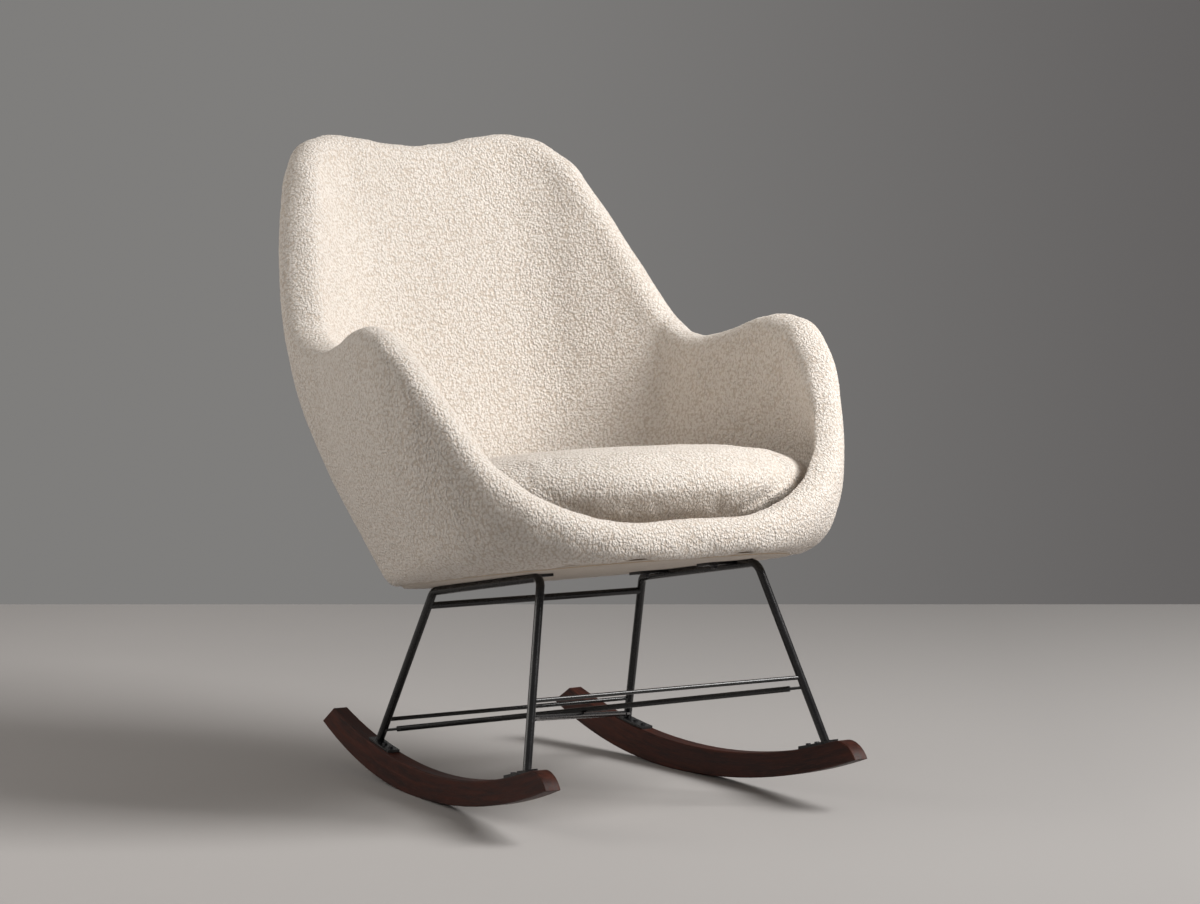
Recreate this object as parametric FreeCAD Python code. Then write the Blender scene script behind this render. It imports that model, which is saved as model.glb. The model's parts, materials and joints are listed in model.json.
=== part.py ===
import FreeCAD, Part
import math
import os

V = FreeCAD.Vector
os.makedirs("parts", exist_ok=True)

# Upholstered rocking chair, in millimetres. It faces -Y and +X is the sitter's left.
# The rockers touch the floor at z = 0, and the finished chair is moved so that its box is centred in Y.
# The seat frame is the floor frame tipped back by SEAT_TILT, with its z = 0 under the seat board.

# Seat frame
SEAT_TILT = 9.6
SEAT_Z = 306.0
AXIS_Y = -20.0

# Bucket wall: one upright section each, turned about the seat's axis from the front (0) to the back (180).
# foot: outer radius at the bottom, edge: rounding there, rim and height: centre of the rounded rim,
# half: half the padded thickness, knee: how far up the wall its fullest place lies, bow: how far that place
# stands out, hollow: how far the inner face gives way, these three as shares of the wall's length,
# deck: radius of the seat well, pad: radius of the cushion.
SECTIONS = {
    "front": dict(
        turn=0, foot=342, edge=16, rim=320, height=31, half=24,
        knee=0.5, bow=0.06, hollow=0.06, deck=284, pad=308,
    ),
    "front_side": dict(
        turn=22, foot=362, edge=24, rim=342, height=34, half=26,
        knee=0.5, bow=0.06, hollow=0.06, deck=300, pad=320,
    ),
    "front_corner": dict(
        turn=42, foot=380, edge=62, rim=368, height=96, half=30,
        knee=0.5, bow=0.07, hollow=0.12, deck=306, pad=334,
    ),
    "arm_low": dict(
        turn=54, foot=376, edge=66, rim=371, height=210, half=29,
        knee=0.45, bow=0.07, hollow=0.17, deck=300, pad=341,
    ),
    "arm_front": dict(
        turn=64, foot=350, edge=60, rim=368, height=296, half=29,
        knee=0.45, bow=0.07, hollow=0.14, deck=280, pad=332,
    ),
    "arm_peak": dict(
        turn=76, foot=312, edge=42, rim=344, height=328, half=29,
        knee=0.45, bow=0.07, hollow=0.115, deck=254, pad=301,
    ),
    "arm_mid": dict(
        turn=92, foot=284, edge=28, rim=320, height=318, half=29,
        knee=0.5, bow=0.07, hollow=0.095, deck=230, pad=268,
    ),
    "notch": dict(
        turn=108, foot=272, edge=24, rim=319, height=317, half=30,
        knee=0.55, bow=0.05, hollow=0.07, deck=214, pad=244,
    ),
    "wing_low": dict(
        turn=120, foot=262, edge=24, rim=350, height=360, half=31,
        knee=0.7, bow=0.05, hollow=0.045, deck=202, pad=230,
    ),
    "wing": dict(
        turn=132, foot=254, edge=24, rim=369, height=488, half=31,
        knee=0.67, bow=0.068, hollow=0.04, deck=195, pad=222,
    ),
    "wing_high": dict(
        turn=143, foot=247, edge=22, rim=386, height=612, half=30,
        knee=0.57, bow=0.068, hollow=0.034, deck=191, pad=216,
    ),
    "shoulder": dict(
        turn=153, foot=240, edge=20, rim=402, height=660, half=30,
        knee=0.5, bow=0.053, hollow=0.03, deck=188, pad=211,
    ),
    "top_peak": dict(
        turn=163, foot=232, edge=18, rim=392, height=664, half=29,
        knee=0.5, bow=0.04, hollow=0.028, deck=184, pad=205,
    ),
    "top_side": dict(
        turn=172, foot=227, edge=18, rim=384, height=654, half=29,
        knee=0.5, bow=0.03, hollow=0.027, deck=180, pad=199,
    ),
    "back": dict(
        turn=180, foot=225, edge=18, rim=381, height=650, half=29,
        knee=0.5, bow=0.025, hollow=0.027, deck=178, pad=196,
    ),
}
RING_SECTIONS = 48

# Seat board, deck and cushion
BOARD_T = 15.0
DECK_T = 13.0
COVER_T = 2.0
COVER_INSET = 4.0
FIT = 0.3
CUSHION_H = 138.0
CUSHION_SIDES = 48
# Rise and width of the cushion's outlines, as shares of its height and of its full width
CUSHION_FORM = (
    (0.0, 0.82),
    (0.14, 0.905),
    (0.29, 0.96),
    (0.46, 0.995),
    (0.6, 0.995),
    (0.74, 0.955),
    (0.86, 0.865),
    (0.94, 0.7),
    (0.985, 0.42),
    (1.0, 0.15),
)

# Panels inside the padding, which stand on the board
PANEL_T = 10.0
PANEL_INSET = 2.0
BACK_PANEL_W = 180.0
BACK_PANEL_TOP = 600.0
SIDE_PANEL_TURN = 92.0
SIDE_PANEL_W = 120.0
SIDE_PANEL_TOP = 285.0
SIDE_PANEL_YAW = 18.0

# Rockers
ROCKER_X = 221.0
ROCKER_TOE = 3.5
ROCKER_W = 24.0
ROCKER_DEPTH = 41.0
TOP_R = 1172.0
TOP_LOW_Y = 6.0
# The underside rests here, below the centre of mass, and rises from here to both ends
REST_Y = 50.6
ROCKER_FRONT = -394.0
ROCKER_REAR = 368.0
FRONT_RISE = 75.0
REAR_RISE = 61.0
NOSE_L = 50.0
TAIL_CUT = 42.0
ROCKER_EASE = 1.5

# Side frames and their foot plates
ROD_D = 12.0
BEND_R = 16.0
BAR_X = 174.0
BAR_FRONT = -237.0
BAR_REAR = 81.0
FRONT_FOOT_Y = -314.0
REAR_FOOT_Y = 183.0
PLATE_T = 4.0
PLATE_W = 18.0
PLATE_TOE = 15.0
PLATE_TAIL = 54.0
PLATE_SCREWS = (22.0, 42.0)
SCREW_D = 4.0
SCREW_L = 24.0
SCREW_HEAD_D = 8.0
SCREW_HEAD_T = 2.4
HOLE_CLEAR = 0.4

# Bars and braces between the side frames, at their heights above the floor on the legs
UPPER_BAR_D = 10.0
UPPER_BAR_Z = 263.0
STRETCHER_D = 6.0
FRONT_STRETCHER_Z = 178.0
REAR_STRETCHER_Z = 90.0
BRACE_D = 8.0
BRACE_FRONT_Z = 160.0
BRACE_REAR_Z = 69.0
BRACE_GAP = 0.4
BRACE_TAB_L = 16.0
BRACE_TAB_W = 10.0
BRACE_TAB_T = 3.0

# Fixings between the frame and the board
TAB_T = 4.0
TAB_W = 34.0
TAB_REACH = 48.0
TAB_BOLT = 30.0
TAB_FRONT_Y = -170.0
TAB_REAR_Y = 20.0
BOLT_D = 6.0
BOLT_HEAD_D = 10.0
BOLT_HEAD_T = 4.0
BOLT_FLANGE_D = 14.0
BOLT_FLANGE_T = 1.2
INSERT_D = 11.0
# Hidden shanks and their bores have flat sides
SHANK_SIDES = 8
FLANGE_SIDES = 16

DECK_Z = BOARD_T + DECK_T
LEFT, RIGHT = 1, -1


def arc(a, b, c):
    return Part.Arc(a, b, c).toShape()


def line(a, b):
    return Part.LineSegment(a, b).toShape()


def rod(a, b, diameter):
    return Part.makeCylinder(diameter / 2, (b - a).Length, a, b - a)


def prism(points, height):
    return Part.Face(Part.makePolygon(points + points[:1])).extrude(V(0, 0, height))


def peg(sides, across, height, foot=V(0, 0, 0)):
    """Upright prism on foot, with flat sides and its corners on a circle."""
    corners = [2 * math.pi * k / sides for k in range(sides)]
    return prism([foot + V(math.cos(a), math.sin(a), 0) * (across / 2) for a in corners], height)


def seat_place(shape):
    """Moves a shape from the seat frame to the floor frame."""
    shape = shape.copy()
    shape.rotate(V(0, 0, 0), V(1, 0, 0), -SEAT_TILT)
    shape.translate(V(0, 0, SEAT_Z))
    return shape


def seat_point(x, y, z):
    tilt = math.radians(SEAT_TILT)
    return V(x, y * math.cos(tilt) + z * math.sin(tilt), SEAT_Z - y * math.sin(tilt) + z * math.cos(tilt))


def rocker_place(shape, side):
    """Moves a shape from the plane of a rocker, which lies along Y at x = 0, to that side of the chair."""
    shape = shape.copy()
    shape.rotate(V(0, 0, 0), V(0, 0, 1), side * ROCKER_TOE)
    shape.translate(V(side * ROCKER_X, 0, 0))
    return shape


def rocker_point(y, z, side):
    toe = math.radians(ROCKER_TOE)
    return V(side * (ROCKER_X - y * math.sin(toe)), y * math.cos(toe), z)


def station(turn):
    """The wall's sizes at any turn, by a smooth curve through the named sections."""
    rows = list(SECTIONS.values())
    rows = [dict(r, turn=-r["turn"]) for r in rows[2:0:-1]] + rows
    rows += [dict(r, turn=360 - r["turn"]) for r in rows[-2:-4:-1]]
    i = max(k for k in range(2, len(rows) - 3) if rows[k]["turn"] <= turn + 1e-9)
    before, start, end, after = rows[i - 1 : i + 3]
    span = end["turn"] - start["turn"]
    u = (turn - start["turn"]) / span
    sizes = {}
    for key in start:
        slope_start = (end[key] - before[key]) / (end["turn"] - before["turn"])
        slope_end = (after[key] - start[key]) / (after["turn"] - start["turn"])
        sizes[key] = (
            (2 * u**3 - 3 * u**2 + 1) * start[key]
            + (u**3 - 2 * u**2 + u) * span * slope_start
            + (3 * u**2 - 2 * u**3) * end[key]
            + (u**3 - u**2) * span * slope_end
        )
    return sizes


def around(turn, radius, z):
    angle = math.radians(turn)
    return V(radius * math.sin(angle), AXIS_Y - radius * math.cos(angle), z)


class WallSection:
    """One upright section of the bucket wall. Its points are (radius, height) in the seat frame."""

    def __init__(self, turn):
        self.turn = turn
        self.size = station(abs(turn))
        rise = max(self.size["height"], 4 * self.size["half"])
        lean = math.atan2(max(self.size["rim"] - self.size["foot"], 0.0), rise)
        self.out = (math.cos(lean), -math.sin(lean))
        self.up = (math.sin(lean), math.cos(lean))

    def at(self, point):
        return around(self.turn, *point)

    def line(self, a, b):
        return line(self.at(a), self.at(b))

    def arc(self, a, b, c):
        return arc(self.at(a), self.at(b), self.at(c))

    def from_rim(self, outward, upward):
        radius = self.size["rim"] + outward * self.out[0] + upward * self.up[0]
        return radius, self.size["height"] + outward * self.out[1] + upward * self.up[1]

    def bowed(self, a, b, share, bow):
        """The point a share of the way from a to b, moved outward by a share of their distance."""
        length = math.dist(a, b)
        return tuple(a[k] + share * (b[k] - a[k]) + bow * length * self.out[k] for k in (0, 1))

    def leaving(self, a, b, heading):
        """Arc from a to b that leaves a along heading."""
        chord = (b[0] - a[0], b[1] - a[1])
        across = heading[0] * chord[1] - heading[1] * chord[0]
        along = heading[0] * chord[0] + heading[1] * chord[1]
        rise = math.tan(math.atan2(across, along) / 2) / 2
        middle = ((a[0] + b[0]) / 2 + rise * chord[1], (a[1] + b[1]) / 2 - rise * chord[0])
        return self.arc(a, middle, b)

    def knee(self, low, high):
        """The wall's fullest place and the wall's heading there."""
        knee = self.bowed(low, high, self.size["knee"], self.size["bow"])
        first, second = math.dist(low, knee), math.dist(knee, high)
        heading = tuple((knee[k] - low[k]) / first + (high[k] - knee[k]) / second for k in (0, 1))
        return knee, heading

    def outer_wall(self, high):
        """Arc from under the seat, then two arcs that meet smoothly at the wall's fullest place."""
        under = (self.board_edge(), 0.0)
        low = (self.size["foot"], self.size["edge"])
        for attempt in range(3):
            knee, heading = self.knee(low, high)
            chord = math.atan2(knee[1] - low[1], knee[0] - low[0])
            start = 2 * chord - math.atan2(heading[1], heading[0])
            low = (self.size["foot"], self.size["edge"] * math.tan(start / 2))
        knee, heading = self.knee(low, high)
        back = (-heading[0], -heading[1])
        edges = [self.leaving(under, low, (1.0, 0.0))]
        return edges + [self.leaving(knee, low, back), self.leaving(knee, high, heading)]

    def inner_wall(self, high, deck):
        """Two arcs: one runs on smoothly from the rim to the hollow, and one from there to the seat well."""
        hollow = self.bowed(high, deck, 0.5, self.size["hollow"])
        down = (-self.up[0], -self.up[1])
        chord = math.atan2(hollow[1] - high[1], hollow[0] - high[0])
        end = 2 * chord - math.atan2(down[1], down[0])
        return [self.leaving(high, hollow, down), self.leaving(hollow, deck, (math.cos(end), math.sin(end)))]

    def board_edge(self):
        return self.size["foot"] - self.size["edge"]

    def wire(self):
        half = self.size["half"]
        slant = half * math.sqrt(0.5)
        well = (self.size["deck"], BOARD_T)
        rebate = (self.board_edge(), BOARD_T)
        under = (self.board_edge(), 0.0)
        rim_out, rim_top, rim_in = self.from_rim(half, 0), self.from_rim(0, half), self.from_rim(-half, 0)
        over_out, over_in = self.from_rim(slant, slant), self.from_rim(-slant, slant)
        deck = (self.size["deck"], DECK_Z)
        edges = [self.line(well, rebate), self.line(rebate, under)]
        edges += self.outer_wall(rim_out)
        edges += [self.arc(rim_out, over_out, rim_top), self.arc(rim_top, over_in, rim_in)]
        edges += self.inner_wall(rim_in, deck)
        edges.append(self.line(deck, well))
        return Part.Wire(edges)


def ring_points(radius_at, z):
    return [around(t, radius_at(WallSection(t)), z) for t in turns]


def cut_all(shape, tools):
    for tool in tools:
        shape = shape.cut(tool)
    return shape


turns = [-180 + 360 * k / RING_SECTIONS for k in range(RING_SECTIONS)]
nodes = {}

# Padding of the bucket, board and deck
padding = Part.makeLoft([WallSection(t).wire() for t in turns], True, True, True)
board = prism(ring_points(lambda s: s.board_edge() - FIT, 0.0), BOARD_T)
deck_pad = prism(ring_points(lambda s: s.size["deck"] - FIT, BOARD_T), DECK_T)
underside = prism(ring_points(lambda s: s.board_edge() - COVER_INSET, -COVER_T), COVER_T)


def panel(turn, width, top, yaw, grow):
    """Bent panel in the middle of the wall, swept level along the wall. A grown one is its pocket."""
    section = WallSection(turn)
    low = (section.board_edge() - PANEL_INSET - PANEL_T / 2, BOARD_T)
    rim = (section.size["rim"], section.size["height"])
    share = (top - BOARD_T) / (rim[1] - BOARD_T)
    high = (low[0] + share * (rim[0] - low[0]), top + grow)
    thick = PANEL_T / 2 + grow
    bend = section.bowed(low, high, 0.5, (section.size["bow"] + section.size["hollow"]) / 2)
    outer = [(p[0] + thick, p[1]) for p in (low, bend, high)]
    inner = [(p[0] - thick, p[1]) for p in (high, bend, low)]
    edges = [section.arc(*outer), section.line(outer[2], inner[0]), section.arc(*inner)]
    edges.append(section.line(inner[2], outer[0]))
    along = math.radians(turn - 90 + math.copysign(yaw, turn))
    sweep = V(math.sin(along), -math.cos(along), 0) * (width + 2 * grow)
    body = Part.Face(Part.Wire(edges)).extrude(sweep)
    body.translate(sweep * -0.5)
    return body


panels = {
    "back_panel": (180.0, BACK_PANEL_W, BACK_PANEL_TOP, 0.0),
    "side_panel_left": (SIDE_PANEL_TURN, SIDE_PANEL_W, SIDE_PANEL_TOP, SIDE_PANEL_YAW),
    "side_panel_right": (-SIDE_PANEL_TURN, SIDE_PANEL_W, SIDE_PANEL_TOP, SIDE_PANEL_YAW),
}
for name, sizes in panels.items():
    nodes[name] = seat_place(panel(*sizes, 0.0))
    padding = padding.cut(panel(*sizes, FIT))

# Flanged bolts and threaded inserts at the four fixing tabs
bolts, inserts, tabs = [], [], {}
tab_places = [
    (side_name + "_" + end, side, y)
    for side_name, side in (("left", LEFT), ("right", RIGHT))
    for end, y in (("front", TAB_FRONT_Y), ("rear", TAB_REAR_Y))
]
tab_low = -COVER_T - TAB_T
for name, side, y in tab_places:
    foot = V(side * (BAR_X - TAB_BOLT), y, tab_low)
    near = min(side * BAR_X, side * (BAR_X - TAB_REACH))
    plate = Part.makeBox(TAB_REACH, TAB_W, TAB_T, V(near, y - TAB_W / 2, tab_low))
    bore = peg(SHANK_SIDES, BOLT_D + HOLE_CLEAR, BOARD_T - tab_low, foot)
    tabs[name] = plate.cut(bore)
    underside = underside.cut(bore)
    shank = peg(SHANK_SIDES, BOLT_D, BOARD_T - tab_low - FIT, foot)
    flange = peg(FLANGE_SIDES, BOLT_FLANGE_D, -BOLT_FLANGE_T, foot)
    head = peg(6, BOLT_HEAD_D, -BOLT_FLANGE_T - BOLT_HEAD_T, foot)
    bolts.append(shank.fuse(flange).fuse(head).removeSplitter())
    socket = V(foot.x, foot.y, 0)
    inserts.append(peg(6, INSERT_D, BOARD_T, socket).cut(bore))
    board = board.cut(peg(6, INSERT_D + HOLE_CLEAR, BOARD_T, socket))


# Loose cushion
def cushion_outline(rise, width):
    z = DECK_Z + FIT + rise * CUSHION_H
    angles = [-180 + 360 * k / CUSHION_SIDES for k in range(CUSHION_SIDES)]
    return [around(t, width * station(abs(t))["pad"], z) for t in angles]


def flat_face(points):
    return Part.Face(Part.makePolygon(points + points[:1]))


def stacked(outlines):
    """Solid of flat faces between level outlines of one shape, each scaled from the one below."""
    faces = [flat_face(outlines[0]), flat_face(outlines[-1])]
    for low, high in zip(outlines, outlines[1:]):
        for k in range(len(low)):
            faces.append(flat_face([low[k - 1], low[k], high[k], high[k - 1]]))
    return Part.Solid(Part.Shell(faces))


cushion = stacked([cushion_outline(*share) for share in CUSHION_FORM])

nodes["shell_upholstery"] = seat_place(padding)
nodes["seat_board"] = seat_place(board)
nodes["deck_pad"] = seat_place(deck_pad)
nodes["underside_cover"] = seat_place(underside)
nodes["seat_cushion"] = seat_place(cushion)
nodes["mount_bolts"] = seat_place(Part.makeCompound(bolts))
nodes["threaded_inserts"] = seat_place(Part.makeCompound(inserts))


# Rockers
def under_arc(end, rise):
    """Arc of a rocker's underside from the resting place to one end."""
    reach = end - REST_Y
    radius = (reach**2 + rise**2) / (2 * rise)
    middle = radius - math.sqrt(radius**2 - (reach / 2) ** 2)
    return arc(V(0, REST_Y, 0), V(0, REST_Y + reach / 2, middle), V(0, end, rise))


def top_z(y, above=0.0):
    radius = TOP_R - above
    return ROCKER_DEPTH + TOP_R - math.sqrt(radius**2 - (y - TOP_LOW_Y) ** 2)


def top_slope(y):
    """Angle in degrees of a rocker's top to the level at y."""
    return math.degrees(math.asin((y - TOP_LOW_Y) / TOP_R))


def rocker_body():
    nose_top, tail_top = ROCKER_FRONT + NOSE_L, ROCKER_REAR - TAIL_CUT
    tip = V(0, ROCKER_FRONT, FRONT_RISE)
    heel = V(0, ROCKER_REAR, REAR_RISE)
    nose = V(0, nose_top, top_z(nose_top))
    tail = V(0, tail_top, top_z(tail_top))
    slope = math.radians(top_slope(nose_top))
    heading = V(0, -math.cos(slope), -math.sin(slope))
    chord = tip - nose
    turn = heading.getAngle(chord)
    bulge = V(0, chord.z, -chord.y).normalize() * (chord.Length / 2 * math.tan(turn / 2))
    middle = (nose + tip) * 0.5 + bulge
    edges = [
        under_arc(ROCKER_REAR, REAR_RISE),
        under_arc(ROCKER_FRONT, FRONT_RISE),
        arc(tip, middle, nose),
        arc(nose, V(0, TOP_LOW_Y, ROCKER_DEPTH), tail),
        line(tail, heel),
    ]
    body = Part.Face(Part.Wire(Part.sortEdges(edges)[0])).extrude(V(ROCKER_W, 0, 0))
    body.translate(V(-ROCKER_W / 2, 0, 0))
    long_edges = [e for e in body.Edges if e.BoundBox.XLength < 1e-6 and e.Length > ROCKER_DEPTH]
    return body.makeChamfer(ROCKER_EASE, long_edges)


def on_top(shape, y):
    """Sets a shape, drawn upright at the origin, on top of a foot plate at y along a rocker."""
    shape.rotate(V(0, 0, 0), V(1, 0, 0), top_slope(y))
    shape.translate(V(0, y, top_z(y, PLATE_T)))
    return shape


def foot_plate(low, high):
    places = [low, (low + high) / 2, high]
    below = [V(0, y, top_z(y)) for y in places]
    above = [V(0, y, top_z(y, PLATE_T)) for y in places]
    edges = [arc(*below), line(below[2], above[2]), arc(*reversed(above)), line(above[0], below[0])]
    body = Part.Face(Part.Wire(edges)).extrude(V(PLATE_W, 0, 0))
    body.translate(V(-PLATE_W / 2, 0, 0))
    return body


feet = {"front": (FRONT_FOOT_Y, 1), "rear": (REAR_FOOT_Y, -1)}
side_names = {"left": LEFT, "right": RIGHT}
rocker = rocker_body()
plates, screws = {}, []
for end, (foot_y, inward) in feet.items():
    ends = sorted((foot_y - inward * PLATE_TOE, foot_y + inward * PLATE_TAIL))
    plate = foot_plate(*ends)
    for offset in PLATE_SCREWS:
        y = foot_y + inward * offset
        bore = on_top(peg(SHANK_SIDES, SCREW_D + HOLE_CLEAR, SCREW_L + 2 * FIT, V(0, 0, -SCREW_L - FIT)), y)
        plate = plate.cut(bore)
        rocker = rocker.cut(bore)
        shank = peg(SHANK_SIDES, SCREW_D, -SCREW_L)
        head = peg(6, SCREW_HEAD_D, SCREW_HEAD_T)
        screws.append(on_top(shank.fuse(head), y))
    plates[end] = plate

for name, side in side_names.items():
    nodes["rocker_" + name] = rocker_place(rocker, side)
    for end, plate in plates.items():
        nodes["foot_plate_" + name + "_" + end] = rocker_place(plate, side)
nodes["rocker_screws"] = Part.makeCompound([rocker_place(s, side) for side in (LEFT, RIGHT) for s in screws])


# Side frames
def frame_corners(side):
    """Foot, bend, bend and foot of a side frame's centre line, front to rear."""
    bar_z = -COVER_T - ROD_D / 2
    return [
        rocker_point(FRONT_FOOT_Y, top_z(FRONT_FOOT_Y), side),
        seat_point(side * BAR_X, BAR_FRONT, bar_z),
        seat_point(side * BAR_X, BAR_REAR, bar_z),
        rocker_point(REAR_FOOT_Y, top_z(REAR_FOOT_Y), side),
    ]


def bent_rod(corners, diameter, radius):
    edges, start = [], corners[0]
    for before, corner, after in zip(corners, corners[1:], corners[2:]):
        back = (before - corner).normalize()
        on = (after - corner).normalize()
        half_angle = back.getAngle(on) / 2
        reach = radius / math.tan(half_angle)
        middle = (back + on).normalize() * (radius / math.sin(half_angle) - radius)
        edges += [line(start, corner + back * reach)]
        edges += [arc(corner + back * reach, corner + middle, corner + on * reach)]
        start = corner + on * reach
    edges.append(line(start, corners[-1]))
    first = (corners[1] - corners[0]).normalize()
    profile = Part.Face(Part.Wire(Part.makeCircle(diameter / 2, corners[0], first)))
    return Part.Wire(edges).makePipe(profile)


def side_frame(side):
    """Bent rod, cut off on the tops of its foot plates."""
    corners = frame_corners(side)
    for foot, bend in ((0, 1), (3, 2)):
        corners[foot] = corners[foot] + (corners[foot] - corners[bend]).normalize() * ROD_D
    reach = 2 * ROCKER_X
    centre = V(-reach / 2, TOP_LOW_Y, ROCKER_DEPTH + TOP_R)
    above = Part.makeCylinder(TOP_R - PLATE_T, reach, centre, V(1, 0, 0))
    return bent_rod(corners, ROD_D, BEND_R).common(rocker_place(above, side))


def on_leg(side, end, z):
    """Point of a leg's centre line at a height above the floor."""
    corners = frame_corners(side)
    foot, bend = (corners[0], corners[1]) if end == "front" else (corners[3], corners[2])
    return foot + (bend - foot) * ((z - foot.z) / (bend.z - foot.z))


frames = {name: side_frame(side) for name, side in side_names.items()}
for name, shape in frames.items():
    nodes["side_frame_" + name] = shape
for name, plate in tabs.items():
    nodes["mount_tab_" + name] = seat_place(plate).cut(frames[name.split("_")[0]])


def bar(end, z, diameter):
    return cut_all(rod(on_leg(LEFT, end, z), on_leg(RIGHT, end, z), diameter), frames.values())


nodes["upper_cross_bar"] = bar("rear", UPPER_BAR_Z, UPPER_BAR_D)
nodes["front_stretcher"] = bar("front", FRONT_STRETCHER_Z, STRETCHER_D)
nodes["rear_stretcher"] = bar("rear", REAR_STRETCHER_Z, STRETCHER_D)


def brace(side, lift):
    """Tube with flattened ends, from a rear leg to the front leg of the other side."""
    rear = on_leg(side, "rear", BRACE_REAR_Z + lift)
    front = on_leg(-side, "front", BRACE_FRONT_Z + lift)
    along = (front - rear).normalize()
    length = (front - rear).Length
    bare = ROD_D / 2 + BRACE_TAB_L
    tube = rod(rear + along * bare, front - along * bare, BRACE_D)
    flat = Part.makeBox(length, BRACE_TAB_W, BRACE_TAB_T, V(0, -BRACE_TAB_W / 2, -BRACE_TAB_T / 2))
    inside = bare + BRACE_D
    flat = flat.cut(Part.makeBox(length - 2 * inside, ROD_D, ROD_D, V(inside, -ROD_D / 2, -ROD_D / 2)))
    flat.rotate(V(0, 0, 0), V(0, 1, 0), -math.degrees(math.asin(along.z)))
    flat.rotate(V(0, 0, 0), V(0, 0, 1), math.degrees(math.atan2(along.y, along.x)))
    flat.translate(rear)
    return cut_all(tube.fuse(flat), frames.values())


brace_lift = (BRACE_D + BRACE_GAP) / 2
nodes["brace_right_rear"] = brace(RIGHT, brace_lift)
nodes["brace_left_rear"] = brace(LEFT, -brace_lift)

box = Part.makeCompound(list(nodes.values())).optimalBoundingBox(False)
centring = V(0, -(box.YMin + box.YMax) / 2, 0)
for name, shape in nodes.items():
    shape.translate(centring)
    print(name, shape.isValid(), len(shape.Solids), round(shape.Volume / 1000, 2), len(shape.Faces))
    shape.exportStep("parts/" + name + ".step")
print("moved by", round(centring.y, 3), "floor", round(box.ZMin, 3), "top", round(box.ZMax, 2))
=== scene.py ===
import json
import math

import bmesh
import bpy
import numpy as np
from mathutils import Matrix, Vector, noise
from mathutils.bvhtree import BVHTree


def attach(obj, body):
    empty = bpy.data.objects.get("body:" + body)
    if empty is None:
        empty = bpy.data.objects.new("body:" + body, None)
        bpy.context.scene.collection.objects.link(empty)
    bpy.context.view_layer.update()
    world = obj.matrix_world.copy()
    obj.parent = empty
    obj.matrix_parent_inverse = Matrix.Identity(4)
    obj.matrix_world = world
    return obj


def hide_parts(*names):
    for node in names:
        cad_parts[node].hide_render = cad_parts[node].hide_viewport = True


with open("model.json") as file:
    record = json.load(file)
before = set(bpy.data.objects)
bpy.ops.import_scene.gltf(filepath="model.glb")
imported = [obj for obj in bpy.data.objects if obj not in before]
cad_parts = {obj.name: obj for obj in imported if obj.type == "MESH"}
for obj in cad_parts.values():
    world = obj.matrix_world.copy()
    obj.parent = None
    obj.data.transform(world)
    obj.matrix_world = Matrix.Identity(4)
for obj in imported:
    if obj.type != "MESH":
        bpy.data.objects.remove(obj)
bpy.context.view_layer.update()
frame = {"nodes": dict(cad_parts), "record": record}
nodes = frame["nodes"]
scene = bpy.context.scene
scene.view_settings.view_transform = "Standard"

TARGET = Vector((0.0558, -0.0497, 0.4804))
VIEW_TURN = math.radians(-30.23)
VIEW_RISE = math.radians(5.05)
VIEW_FAR = 5.499
LENS = 114.75

# The seat frame is tipped back about X; its axis is the middle of the bucket
SEAT_TILT = math.radians(9.6)
SEAT_SHIFT = 0.049719
SEAT_Z = 0.306
AXIS_Y = -0.02

NUB = 0.0038
ROCKER_CENTRE = Vector((0.0, -0.0437, 1.225))

# Open ends of a range for hump()
NO_LOW = -9.0
NO_HIGH = 9.0

# Fabric pieces, in metres
SHELL_VOXEL = 0.007
PAD_VOXEL = 0.005
PRESSURE = 4.0
FRAMES = 20
HAIR = 0.0001
SECTION_STEP = 7.5

# The wall's front corners: how far out the outside is looked for, and the share of the wall that is taken off
OUTSIDE = 0.6
SLIM_SHARE = 0.4
BOARD_CLEAR = 0.001
BOARD_FOOT = 0.006

# The cushion in its seat
LIP_BULGE = 0.011
WALL_GAP = 0.004
MOST_FILLED = 0.018
TUCKED = 0.018
DRAWN_IN = 0.008
TALLER_FROM = 0.06
TALLER = 1.045

# The dust cloth
CLOTH_STEP = 1.5
CLOTH_REACH = 0.008
HEM = 0.0045
PUCKER = 0.0005
PUCKERS = 24.0

FLOOR_END = 2.02
FLOOR_SIDE = 14.0
FLOOR_FRONT = 24.0
LAMP_AIM = Vector((0.0, -0.05, 0.45))


def camera():
    data = bpy.data.cameras.new("view_camera")
    data.sensor_fit = "HORIZONTAL"
    data.sensor_width = 36.0
    data.lens = LENS
    data.clip_end = 60.0
    cam = bpy.data.objects.new("view_camera", data)
    scene.collection.objects.link(cam)
    back = Vector((math.sin(VIEW_TURN) * math.cos(VIEW_RISE), -math.cos(VIEW_TURN) * math.cos(VIEW_RISE),
                   math.sin(VIEW_RISE)))
    cam.location = TARGET + back * VIEW_FAR
    cam.rotation_mode = "QUATERNION"
    cam.rotation_quaternion = (-back).to_track_quat("-Z", "Y")
    scene.camera = cam


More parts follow.
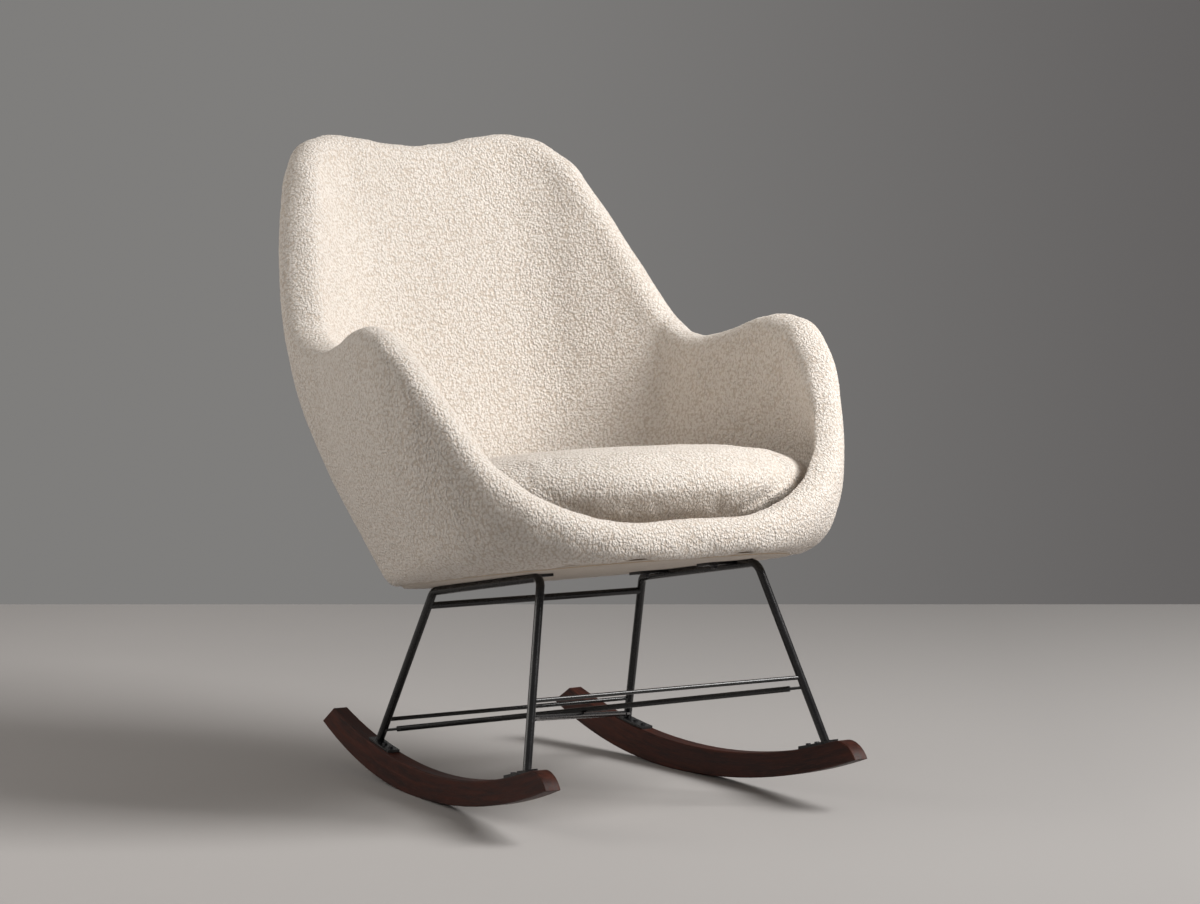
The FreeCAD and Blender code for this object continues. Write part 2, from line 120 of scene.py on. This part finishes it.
class Nodes:
    """A material's node tree, with short ways to add to it."""

    def __init__(self, name):
        self.material = bpy.data.materials.new(name)
        self.material.use_nodes = True
        self.tree = self.material.node_tree
        self.shader = self.tree.nodes["Principled BSDF"]

    def add(self, kind, **settings):
        made = self.tree.nodes.new(kind)
        for key, value in settings.items():
            if key[0].isupper():
                made.inputs[key.replace("_", " ")].default_value = value
            else:
                setattr(made, key, value)
        return made

    def link(self, source, target):
        self.tree.links.new(source, target)

    def place(self, scale=(1, 1, 1), turn=(0, 0, 0)):
        where = self.add("ShaderNodeTexCoord")
        mapped = self.add("ShaderNodeMapping", Scale=scale, Rotation=turn)
        self.link(where.outputs["Object"], mapped.inputs["Vector"])
        return mapped.outputs["Vector"]

    def noise(self, vector, scale, detail=3.0, rough=0.5, distort=0.0):
        made = self.add("ShaderNodeTexNoise", Scale=scale, Detail=detail, Roughness=rough, Distortion=distort)
        self.link(vector, made.inputs["Vector"])
        return made.outputs["Fac"]

    def cells(self, vector, scale, feature="F1", smooth=0.3):
        made = self.add("ShaderNodeTexVoronoi", feature=feature, Scale=scale)
        if feature == "SMOOTH_F1":
            made.inputs["Smoothness"].default_value = smooth
        self.link(vector, made.inputs["Vector"])
        return made

    def swirled(self, vector, scale, far):
        """The place, pushed about by a soft noise."""
        swirl = self.add("ShaderNodeTexNoise", Scale=scale, Detail=2.0)
        self.link(vector, swirl.inputs["Vector"])
        shift = self.add("ShaderNodeVectorMath", operation="MULTIPLY_ADD")
        self.link(swirl.outputs["Color"], shift.inputs[0])
        shift.inputs[1].default_value = (far, far, far)
        self.link(vector, shift.inputs[2])
        return shift.outputs[0]

    def math(self, operation, first, second=None):
        made = self.add("ShaderNodeMath", operation=operation)
        for socket, value in zip(made.inputs, (first, second)):
            if value is None:
                continue
            if isinstance(value, (int, float)):
                socket.default_value = value
            else:
                self.link(value, socket)
        return made.outputs[0]

    def spread(self, value, low, high, to_low=0.0, to_high=1.0):
        made = self.add("ShaderNodeMapRange", From_Min=low, From_Max=high, To_Min=to_low, To_Max=to_high)
        self.link(value, made.inputs["Value"])
        return made.outputs[0]

    def mix(self, share, first, second):
        made = self.add("ShaderNodeMix", data_type="RGBA")
        for socket, value in ((made.inputs[0], share), (made.inputs[6], first), (made.inputs[7], second)):
            if isinstance(value, (int, float)):
                socket.default_value = value
            elif isinstance(value, tuple):
                socket.default_value = (*value, 1.0)
            else:
                self.link(value, socket)
        return made.outputs[2]

    def bump(self, height, far, strength=1.0, under=None):
        made = self.add("ShaderNodeBump", Strength=strength, Distance=far)
        self.link(height, made.inputs["Height"])
        if under is not None:
            self.link(under, made.inputs["Normal"])
        return made.outputs[0]

    def set(self, **values):
        for key, value in values.items():
            socket = self.shader.inputs[key.replace("_", " ")]
            if isinstance(value, (int, float)):
                socket.default_value = value
            elif isinstance(value, tuple):
                socket.default_value = (*value, 1.0) if len(value) == 3 else value
            else:
                self.link(value, socket)
        return self.material


def boucle_material():
    """Looped cream wool: packed curls of bent strands, with painted shade (brown) in the hollows between curls, a
    painted highlight (pale cream) on the curl tops, and a soft sheen.
    """
    n = Nodes("boucle")
    where = n.place((1.0, 1.0, 0.8))
    bent = n.swirled(where, 320.0, 0.0026)
    curl = n.cells(bent, 1 / NUB, "SMOOTH_F1", 0.3)
    curl.inputs["Randomness"].default_value = 0.85
    loop = n.cells(bent, 2.1 / NUB)
    fuzz = n.noise(where, 2600.0, 2.0, 0.6)
    dome = n.spread(curl.outputs["Distance"], 0.1, 0.72, 1.0, 0.0)
    knot = n.spread(loop.outputs["Distance"], 0.1, 0.75, 1.0, 0.0)
    height = n.math("ADD", n.math("MULTIPLY", dome, 0.66), n.math("MULTIPLY", knot, 0.34))
    broad = n.noise(where, 7.0, 3.0, 0.55)
    cream = n.mix(n.spread(broad, 0.3, 0.7), (0.8, 0.735, 0.665), (0.83, 0.768, 0.703))
    # painted shade: the low ground between curls is mixed toward brown, where shade falls
    painted_gap_shade = n.mix(n.spread(height, 0.1, 0.42), (0.6, 0.51, 0.425), cream)
    # painted highlight: the highest part of each curl is mixed toward pale cream, where light catches it
    painted_tip_highlight = n.mix(n.spread(height, 0.55, 0.9, 0.0, 0.5), painted_gap_shade, (0.91, 0.87, 0.82))
    worn = n.mix(n.spread(fuzz, 0.35, 0.7, 0.0, 0.14), painted_tip_highlight, (0.93, 0.895, 0.85))
    normal = n.bump(height, 0.0027, 1.0)
    normal = n.bump(fuzz, 0.0005, 0.45, normal)
    n.set(Base_Color=worn, Normal=normal, Roughness=0.95, Sheen_Weight=0.2, Sheen_Roughness=0.5)
    n.set(Sheen_Tint=(1.0, 0.97, 0.93), Specular_IOR_Level=0.15)
    return n.material


def lining_material():
    """Plain-woven beige lining: two crossing sets of threads, with slubs."""
    n = Nodes("lining")
    where = n.place()
    parts = n.add("ShaderNodeSeparateXYZ")
    n.link(where, parts.inputs[0])
    sway = n.spread(n.noise(where, 60.0, 2.0), 0.3, 0.7, -0.6, 0.6)
    warp = n.math("SINE", n.math("ADD", n.math("MULTIPLY", parts.outputs[0], 3100.0), sway))
    weft = n.math("SINE", n.math("ADD", n.math("MULTIPLY", parts.outputs[1], 3100.0), sway))
    weave = n.spread(n.math("MULTIPLY", warp, weft), -1.0, 1.0)
    slub = n.noise(n.place((40, 900, 40)), 1.0, 2.0)
    cloth = n.mix(weave, (0.5, 0.435, 0.37), (0.64, 0.57, 0.495))
    cloth = n.mix(n.spread(slub, 0.45, 0.75, 0.0, 0.35), cloth, (0.7, 0.63, 0.555))
    broad = n.noise(where, 9.0, 2.0)
    cloth = n.mix(n.spread(broad, 0.35, 0.7, 0.0, 0.25), cloth, (0.45, 0.39, 0.33))
    normal = n.bump(weave, 0.0004, 0.6)
    n.set(Base_Color=cloth, Normal=normal, Roughness=0.9, Sheen_Weight=0.12, Specular_IOR_Level=0.2)
    return n.material


def wood_material():
    """Dark reddish hardwood, oiled: the grain follows the rocker's bend, with open pores, and a painted highlight that
    makes every edge paler.
    """
    n = Nodes("dark_wood")
    where = n.add("ShaderNodeTexCoord").outputs["Object"]
    parts = n.add("ShaderNodeSeparateXYZ")
    n.link(where, parts.inputs[0])
    along = n.math("SUBTRACT", parts.outputs[1], ROCKER_CENTRE.y)
    up = n.math("SUBTRACT", parts.outputs[2], ROCKER_CENTRE.z)
    ring = n.math("POWER", n.math("ADD", n.math("MULTIPLY", along, along), n.math("MULTIPLY", up, up)), 0.5)
    bent = n.add("ShaderNodeCombineXYZ")
    n.link(parts.outputs[0], bent.inputs[0])
    n.link(n.math("MULTIPLY", along, 0.05), bent.inputs[1])
    n.link(ring, bent.inputs[2])
    grain = n.noise(bent.outputs[0], 130.0, 5.0, 0.62, 0.35)
    fine = n.noise(bent.outputs[0], 620.0, 3.0, 0.6, 0.2)
    pores = n.noise(bent.outputs[0], 1500.0, 1.0, 0.5)
    broad = n.noise(bent.outputs[0], 26.0, 2.0, 0.5, 0.4)
    tone = n.mix(n.spread(grain, 0.36, 0.66), (0.014, 0.0042, 0.003), (0.068, 0.018, 0.0102))
    tone = n.mix(n.spread(fine, 0.45, 0.75, 0.0, 0.5), tone, (0.105, 0.029, 0.016))
    tone = n.mix(n.spread(broad, 0.35, 0.7, 0.0, 0.55), tone, (0.02, 0.006, 0.0042))
    tone = n.mix(n.spread(pores, 0.62, 0.8, 0.0, 0.7), tone, (0.009, 0.0034, 0.0026))
    # painted highlight: where the bevelled normal differs from the plain one, at the edges, the tone is mixed toward a
    # paler brown
    edge = n.add("ShaderNodeBevel", samples=4, Radius=0.0016)
    plain = n.add("ShaderNodeNewGeometry")
    off = n.add("ShaderNodeVectorMath", operation="DISTANCE")
    n.link(edge.outputs[0], off.inputs[0])
    n.link(plain.outputs["Normal"], off.inputs[1])
    painted_edge_highlight = n.math("MULTIPLY", n.spread(off.outputs["Value"], 0.12, 0.6), n.spread(fine, 0.3, 0.7))
    tone = n.mix(n.math("MULTIPLY", painted_edge_highlight, 0.4), tone, (0.18, 0.068, 0.04))
    normal = n.bump(pores, 0.0003, 0.35, n.bump(fine, 0.0004, 0.3, edge.outputs[0]))
    rough = n.spread(grain, 0.3, 0.7, 0.42, 0.58)
    n.set(Base_Color=tone, Normal=normal, Roughness=rough, Specular_IOR_Level=0.16)
    return n.material


def metal_material():
    """Satin black powder coat: a faint orange-peel texture and small changes in gloss."""
    n = Nodes("black_metal")
    where = n.place()
    peel = n.noise(where, 900.0, 2.0, 0.5)
    broad = n.noise(where, 22.0, 3.0, 0.55)
    tone = n.mix(n.spread(broad, 0.3, 0.7), (0.0075, 0.0075, 0.0083), (0.0145, 0.0143, 0.0147))
    rough = n.math("ADD", n.spread(broad, 0.3, 0.7, 0.2, 0.29), n.spread(peel, 0.3, 0.7, -0.03, 0.05))
    n.set(Base_Color=tone, Roughness=rough, Normal=n.bump(peel, 0.0002, 0.2), Specular_IOR_Level=0.5)
    return n.material


def zinc_material():
    """Black-zinc fasteners with turning marks."""
    n = Nodes("zinc")
    where = n.place()
    mark = n.noise(n.place((300, 300, 2600)), 1.0, 2.0)
    broad = n.noise(where, 60.0, 2.0)
    tone = n.mix(n.spread(broad, 0.3, 0.7), (0.07, 0.07, 0.075), (0.12, 0.12, 0.125))
    n.set(Base_Color=tone, Metallic=1.0, Roughness=n.spread(mark, 0.3, 0.7, 0.28, 0.5))
    n.set(Normal=n.bump(mark, 0.0001, 0.4))
    return n.material


def plywood_material():
    """Birch plywood: pale faces with fine grain, and the plies' alternating bands."""
    n = Nodes("plywood")
    where = n.place()
    grain = n.noise(n.place((220, 9, 220)), 1.0, 4.0, 0.6, 0.3)
    parts = n.add("ShaderNodeSeparateXYZ")
    n.link(n.place((1, 1, 1), (SEAT_TILT, 0, 0)), parts.inputs[0])
    ply = n.spread(n.math("SINE", n.math("MULTIPLY", parts.outputs[2], 2500.0)), -0.25, 0.25)
    tone = n.mix(n.spread(grain, 0.35, 0.65), (0.52, 0.37, 0.22), (0.66, 0.5, 0.33))
    tone = n.mix(n.math("MULTIPLY", ply, 0.3), tone, (0.4, 0.27, 0.15))
    broad = n.noise(where, 14.0, 2.0)
    n.set(Base_Color=tone, Normal=n.bump(grain, 0.0002, 0.3), Roughness=n.spread(broad, 0.3, 0.7, 0.55, 0.7))
    return n.material


MATERIALS = {
    "boucle": boucle_material(),
    "lining": lining_material(),
    "dark_wood": wood_material(),
    "black_metal": metal_material(),
    "zinc": zinc_material(),
    "plywood": plywood_material(),
}


def dress_nodes():
    """Every CAD node gets the scene's own material for its slot."""
    for part in frame["record"]["subparts"]:
        node = nodes[part["node"]]
        node.data.materials.clear()
        node.data.materials.append(MATERIALS[part["material_slot"]])


def points_of(mesh):
    flat = np.empty(len(mesh.vertices) * 3)
    mesh.vertices.foreach_get("co", flat)
    return flat.reshape(-1, 3)


def set_points(mesh, points):
    mesh.vertices.foreach_set("co", np.ascontiguousarray(points, dtype=np.float32).ravel())
    mesh.update()


def normals_of(mesh):
    flat = np.empty(len(mesh.vertices) * 3)
    mesh.vertices.foreach_get("normal", flat)
    return flat.reshape(-1, 3)


def edges_of(mesh):
    flat = np.empty(len(mesh.edges) * 2, dtype=np.int64)
    mesh.edges.foreach_get("vertices", flat)
    return flat.reshape(-1, 2)


def to_seat(points):
    y, z = points[:, 1] + SEAT_SHIFT, points[:, 2] - SEAT_Z
    c, s = math.cos(SEAT_TILT), math.sin(SEAT_TILT)
    return np.stack([points[:, 0], y * c - z * s, y * s + z * c], 1)


def from_seat(points):
    y, z = points[:, 1], points[:, 2]
    c, s = math.cos(SEAT_TILT), math.sin(SEAT_TILT)
    return np.stack([points[:, 0], y * c + z * s - SEAT_SHIFT, z * c - y * s + SEAT_Z], 1)


def polar(points):
    """Turn from the front in degrees, radius and height in the seat frame."""
    seat = to_seat(points)
    x, y = seat[:, 0], seat[:, 1] - AXIS_Y
    return np.degrees(np.arctan2(x, -y)), np.hypot(x, y), seat[:, 2]


def from_polar(turn, radius, height):
    a = np.radians(turn)
    return from_seat(np.stack([radius * np.sin(a), AXIS_Y - radius * np.cos(a), height], 1))


def hump(value, low, high, ease):
    """1 between low and high, and smoothly down to 0 over ease on both sides."""
    share = np.clip(np.minimum((value - low) / ease + 1, (high - value) / ease + 1), 0, 1)
    return share * share * (3 - 2 * share)


def copied(names, name):
    """One mesh of copies of the nodes."""
    built = bmesh.new()
    for node in names:
        built.from_mesh(nodes[node].data)
    bmesh.ops.remove_doubles(built, verts=built.verts, dist=1e-6)
    mesh = bpy.data.meshes.new(name)
    built.to_mesh(mesh)
    built.free()
    made = bpy.data.objects.new(name, mesh)
    scene.collection.objects.link(made)
    return made


def applied(obj):
    """Turns the object's mesh into what its modifiers make of it."""
    seen = obj.evaluated_get(bpy.context.evaluated_depsgraph_get())
    mesh = bpy.data.meshes.new_from_object(seen)
    obj.modifiers.clear()
    old = obj.data
    obj.data = mesh
    bpy.data.meshes.remove(old)
    return obj


def remeshed(obj, voxel):
    made = obj.modifiers.new("remesh", "REMESH")
    made.mode = "VOXEL"
    made.voxel_size = voxel
    return applied(obj)


def smoothed(mesh, rounds, keep=0.113):
    """Evens out facets without shrinking: each round pulls the points together and pushes them back. Waves longer
    than about pi / sqrt(keep) edges stay."""
    points = points_of(mesh)
    edges = edges_of(mesh)
    count = np.bincount(edges.ravel(), minlength=len(points)).astype(float)[:, None]
    for step in range(rounds):
        for share in (0.5, 1 / (keep - 2)):
            total = np.empty_like(points)
            for k in range(3):
                total[:, k] = np.bincount(edges[:, 0], points[edges[:, 1], k], len(points))
                total[:, k] += np.bincount(edges[:, 1], points[edges[:, 0], k], len(points))
            points = points + share * (total / count - points)
    set_points(mesh, points)


def swollen(obj, cap):
    """Runs a cloth simulation with air pressure, and lets no point move further than the cap."""
    before = points_of(obj.data).copy()
    cloth = obj.modifiers.new("cloth", "CLOTH")
    made = cloth.settings
    made.quality = 4
    made.mass = 0.4
    made.use_pressure = True
    made.uniform_pressure_force = PRESSURE
    made.tension_stiffness = 18.0
    made.compression_stiffness = 12.0
    made.shear_stiffness = 8.0
    made.bending_stiffness = 2.5
    made.effector_weights.gravity = 0.0
    cloth.collision_settings.use_collision = False
    cloth.collision_settings.use_self_collision = False
    for number in range(1, FRAMES + 1):
        scene.frame_set(number)
    applied(obj)
    scene.frame_set(1)
    after = points_of(obj.data)
    moved = after - before
    far = np.linalg.norm(moved, axis=1, keepdims=True)
    kept = before + moved * np.minimum(1.0, cap / np.maximum(far, 1e-9))
    set_points(obj.data, kept)


def subdivided(obj):
    made = obj.modifiers.new("subdivision", "SUBSURF")
    made.levels = 1
    made.render_levels = 1
    return applied(obj)


def ruffled(obj, curl, soft):
    """Raises single curls of the fabric, and lets the filling under it be a little uneven."""
    points = points_of(obj.data)
    rise = np.empty(len(points))
    for k, point in enumerate(points):
        where = Vector(point)
        rise[k] = curl * noise.noise(where * (0.9 / NUB)) + soft * noise.noise(where * 24.0)
    set_points(obj.data, points + normals_of(obj.data) * rise[:, None])


def top_of(node):
    return polar(points_of(nodes[node].data))[2].max()


def rim_of(node, turns):
    """The node's outer radius at each turn, from its corners."""
    turn, radius, _ = polar(points_of(nodes[node].data))
    corners = np.arange(-180.0, 180.0, SECTION_STEP)
    rim = [radius[np.abs((turn - t + 180) % 360 - 180) < 0.6].max() for t in corners]
    return np.interp(turns, corners, rim, period=360)


def pressed(obj, low, high):
    """Flattens what would reach into the pieces below and above, with a hair's breadth between."""
    turn, radius, height = polar(points_of(obj.data))
    set_points(obj.data, from_polar(turn, radius, np.clip(height, low + HAIR, high - HAIR)))


def finished(obj, node, slot, body):
    obj.data.polygons.foreach_set("use_smooth", np.ones(len(obj.data.polygons), dtype=bool))
    obj.data.update()
    obj.data.materials.clear()
    obj.data.materials.append(MATERIALS[slot])
    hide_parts(node)
    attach(obj, body)
    return obj


def outward(turn):
    """Level direction in the seat frame away from its axis."""
    a = np.radians(turn)
    return from_seat(np.stack([np.sin(a), -np.cos(a), 0 * a], 1)) - from_seat(np.zeros((1, 3)))


def slimmed(obj):
    """Thins the wall at the two front corners, where it runs down from the arms to the lip. The outside stays."""
    points = points_of(obj.data)
    turn, radius, height = polar(points)
    corner = hump(np.abs(turn), 30.0, 48.0, 18.0)
    corner = corner * hump(height, 0.06, NO_HIGH, 0.03) * hump(height, NO_LOW, 0.13, 0.24)
    tree = BVHTree.FromObject(obj, bpy.context.evaluated_depsgraph_get())
    out = outward(turn)
    for k in np.flatnonzero(corner > 0.001):
        start = Vector(points[k] + out[k] * (OUTSIDE - radius[k]))
        hit = tree.ray_cast(start, Vector(-out[k]), OUTSIDE)
        if hit[0] is not None:
            radius[k] += (OUTSIDE - hit[3] - radius[k]) * SLIM_SHARE * corner[k]
    set_points(obj.data, from_polar(turn, radius, height))
    smoothed(obj.data, 20)


def off_board(obj):
    """Takes what the smoothing pushed into the seat board back to its top or its edge."""
    turn, radius, height = polar(points_of(obj.data))
    top = top_of("seat_board")
    rim = rim_of("seat_board", turn) + BOARD_CLEAR
    inside = (radius < rim) & (height < top) & (height > -BOARD_CLEAR)
    above = inside & (height > top - BOARD_FOOT)
    height[above] = top + HAIR
    radius = np.where(inside & ~above, rim, radius)
    set_points(obj.data, from_polar(turn, radius, height))


def shell():
    """The bucket's padding under its tight looped cover. The panels inside it close its pockets."""
    inside = ["back_panel", "side_panel_left", "side_panel_right"]
    made = remeshed(copied(["shell_upholstery", *inside], "shell_fabric"), SHELL_VOXEL)
    smoothed(made.data, 220, 0.05)
    slimmed(made)
    subdivided(made)
    ruffled(made, 0.0005, 0.0007)
    off_board(made)
    return finished(made, "shell_upholstery", "boucle", "chair")


def nestled(obj, wall):
    """Lets the cushion fill its seat: its side comes near the wall, or bulges over the low lip, and tucks in below. On
    the sitter's right it is drawn in instead."""
    points = points_of(obj.data)
    turn, radius, height = polar(points)
    tree = BVHTree.FromObject(wall, bpy.context.evaluated_depsgraph_get())
    out = outward(turn)
    side = hump(height, 0.074, 0.118, 0.036) * hump(radius, 0.15, NO_HIGH, 0.05)
    free = np.full(len(points), LIP_BULGE)
    for k in np.flatnonzero(side > 0.001):
        hit = tree.ray_cast(Vector(points[k]), Vector(out[k]), 0.1)
        if hit[0] is not None:
            free[k] = min(max(hit[3] - WALL_GAP, 0.0), MOST_FILLED)
    under = hump(height, 0.03, 0.052, 0.042) * hump(np.abs(turn), -1.0, 12.0, 48.0)
    near = hump(turn, -75.0, -55.0, 50.0)
    side = side * (1 - near)
    radius = radius + side * free - TUCKED * under * hump(radius, 0.2, NO_HIGH, 0.05)
    radius = radius - DRAWN_IN * near * hump(height, 0.08, 0.145, 0.03) * hump(radius, 0.26, NO_HIGH, 0.09)
    height = np.where(height > TALLER_FROM, TALLER_FROM + (height - TALLER_FROM) * TALLER, height)
    set_points(obj.data, from_polar(turn, radius, height))
    smoothed(obj.data, 12)


def cushion(wall):
    """The loose seat cushion, swollen by its filling inside the same looped cover."""
    made = remeshed(copied(["seat_cushion"], "cushion_fabric"), PAD_VOXEL)
    smoothed(made.data, 160, 0.04)
    nestled(made, wall)
    set_points(made.data, points_of(made.data) - 0.003 * normals_of(made.data))
    swollen(made, 0.004)
    smoothed(made.data, 3)
    subdivided(made)
    ruffled(made, 0.0005, 0.0008)
    pressed(made, top_of("deck_pad"), NO_HIGH)
    return finished(made, "seat_cushion", "boucle", "cushion")


def deck():
    """The foam deck under the cushion, in lining cloth."""
    made = remeshed(copied(["deck_pad"], "deck_lining"), PAD_VOXEL)
    smoothed(made.data, 6)
    set_points(made.data, points_of(made.data) - 0.002 * normals_of(made.data))
    swollen(made, 0.002)
    subdivided(made)
    pressed(made, top_of("seat_board"), top_of("deck_pad"))
    return finished(made, "deck_pad", "lining", "chair")


def underside():
    """The dust cloth under the seat, stapled round its edge: a turned-in hem with small puckers."""
    height = polar(points_of(nodes["underside_cover"].data))[2]
    turns = np.arange(-180.0, 180.0, CLOTH_STEP)
    reach = rim_of("underside_cover", turns) + CLOTH_REACH
    shares = np.concatenate([np.linspace(0.05, 0.9, 18), np.linspace(0.92, 0.97, 6), np.linspace(0.976, 1.0, 8)])
    rows = []
    for share in shares:
        rim = hump(np.array([share]), 0.94, 2.0, 0.12)[0]
        lift = PUCKER * rim * np.sin(np.radians(turns * PUCKERS)) ** 2 + 0.0002 * (1 - share)
        hem = HEM * hump(np.array([share]), 1.0, 2.0, 0.03)[0]
        rows.append(from_polar(turns, reach * share, height.min() + HAIR + lift + hem))
    count = len(turns)
    middle = from_polar(np.array([0.0]), np.array([0.0]), np.array([height.min() + 0.0003]))
    points = np.concatenate([middle, *rows])
    faces = [(0, 1 + (k + 1) % count, 1 + k) for k in range(count)]
    for row in range(len(shares) - 1):
        low, high = 1 + row * count, 1 + (row + 1) * count
        faces += [(low + k, low + (k + 1) % count, high + (k + 1) % count, high + k) for k in range(count)]
    mesh = bpy.data.meshes.new("dust_cloth")
    mesh.from_pydata(points.tolist(), [], faces)
    made = bpy.data.objects.new("dust_cloth", mesh)
    scene.collection.objects.link(made)
    finished(made, "underside_cover", "lining", "chair")


def floor_material():
    """Plain paint with faint mottling, and painted shade that makes it a little darker to the view's right."""
    # painted shade: the colour goes from the lighter left grey to the darker right grey across the view
    left, right = (0.475, 0.457, 0.445), (0.325, 0.313, 0.305)
    n = Nodes("floor_paint_and_painted_shade")
    where = n.place()
    across = n.add("ShaderNodeVectorMath", operation="DOT_PRODUCT")
    n.link(where, across.inputs[0])
    across.inputs[1].default_value = (math.cos(VIEW_TURN), math.sin(VIEW_TURN), 0.0)
    share = n.spread(across.outputs["Value"], -0.8, 0.8)
    mottle = n.spread(n.noise(where, 3.0, 3.0), 0.3, 0.7, 0.0, 0.05)
    tone = n.mix(mottle, n.mix(share, left, right), right)
    n.set(Base_Color=tone, Roughness=0.75, Specular_IOR_Level=0.2)
    return n.material


def stage():
    """A pale floor that ends behind the chair, square to the view."""
    away = Vector((-math.sin(VIEW_TURN), math.cos(VIEW_TURN), 0.0))
    side = Vector((away.y, -away.x, 0.0))
    middle = Vector((TARGET.x, TARGET.y, 0.0))
    left = middle + away * FLOOR_END - side * FLOOR_SIDE
    right = middle + away * FLOOR_END + side * FLOOR_SIDE
    mesh = bpy.data.meshes.new("floor")
    mesh.from_pydata([left, left - away * FLOOR_FRONT, right - away * FLOOR_FRONT, right], [], [(0, 1, 2, 3)])
    mesh.materials.append(floor_material())
    made = bpy.data.objects.new("floor", mesh)
    scene.collection.objects.link(made)


def lamp(name, turn, rise, far, size, power, colour):
    """A square lamp at an angle round the view direction: 90 is to the view's right, 180 behind the object."""
    data = bpy.data.lights.new(name, "AREA")
    data.shape = "SQUARE"
    data.size = size
    data.energy = power
    data.color = colour
    made = bpy.data.objects.new(name, data)
    scene.collection.objects.link(made)
    a = VIEW_TURN + math.radians(turn)
    e = math.radians(rise)
    back = Vector((math.sin(a) * math.cos(e), -math.cos(a) * math.cos(e), math.sin(e)))
    made.location = LAMP_AIM + back * far
    made.rotation_mode = "QUATERNION"
    made.rotation_quaternion = (-back).to_track_quat("-Z", "Y")


def lights():
    lamp("key", 76, 39, 3.4, 1.8, 178.0, (1.0, 0.985, 0.97))
    lamp("side_fill", -80, 30, 4.2, 2.5, 38.0, (1.0, 0.95, 0.9))
    lamp("low_fill", -95, 10, 4.2, 1.6, 22.0, (1.0, 0.95, 0.9))


def surroundings():
    """A grey studio all round, with painted shade that makes the backdrop darker to the view's right."""
    world = bpy.data.worlds.new("studio")
    world.use_nodes = True
    tree = world.node_tree
    where = tree.nodes.new("ShaderNodeTexCoord")
    across = tree.nodes.new("ShaderNodeVectorMath")
    across.operation = "DOT_PRODUCT"
    across.inputs[1].default_value = (math.cos(VIEW_TURN), math.sin(VIEW_TURN), 0.0)
    tree.links.new(where.outputs["Generated"], across.inputs[0])
    share = tree.nodes.new("ShaderNodeMapRange")
    share.interpolation_type = "SMOOTHSTEP"
    share.inputs["From Min"].default_value = -0.1
    share.inputs["From Max"].default_value = 0.24
    tree.links.new(across.outputs["Value"], share.inputs["Value"])
    grey = tree.nodes.new("ShaderNodeMix")
    grey.data_type = "RGBA"
    tree.links.new(share.outputs[0], grey.inputs[0])
    # painted shade: the backdrop goes from the lighter grey on the left to the darker grey on the right
    grey.inputs[6].default_value = (0.212, 0.208, 0.202, 1.0)
    grey.inputs[7].default_value = (0.112, 0.106, 0.105, 1.0)
    tree.links.new(grey.outputs[2], tree.nodes["Background"].inputs["Color"])
    scene.world = world


def corners(bounds):
    return [[round(x, 5) for x in corner] for corner in bounds]


camera()
dress_nodes()
cushion(shell())
deck()
underside()
stage()
lights()
surroundings()
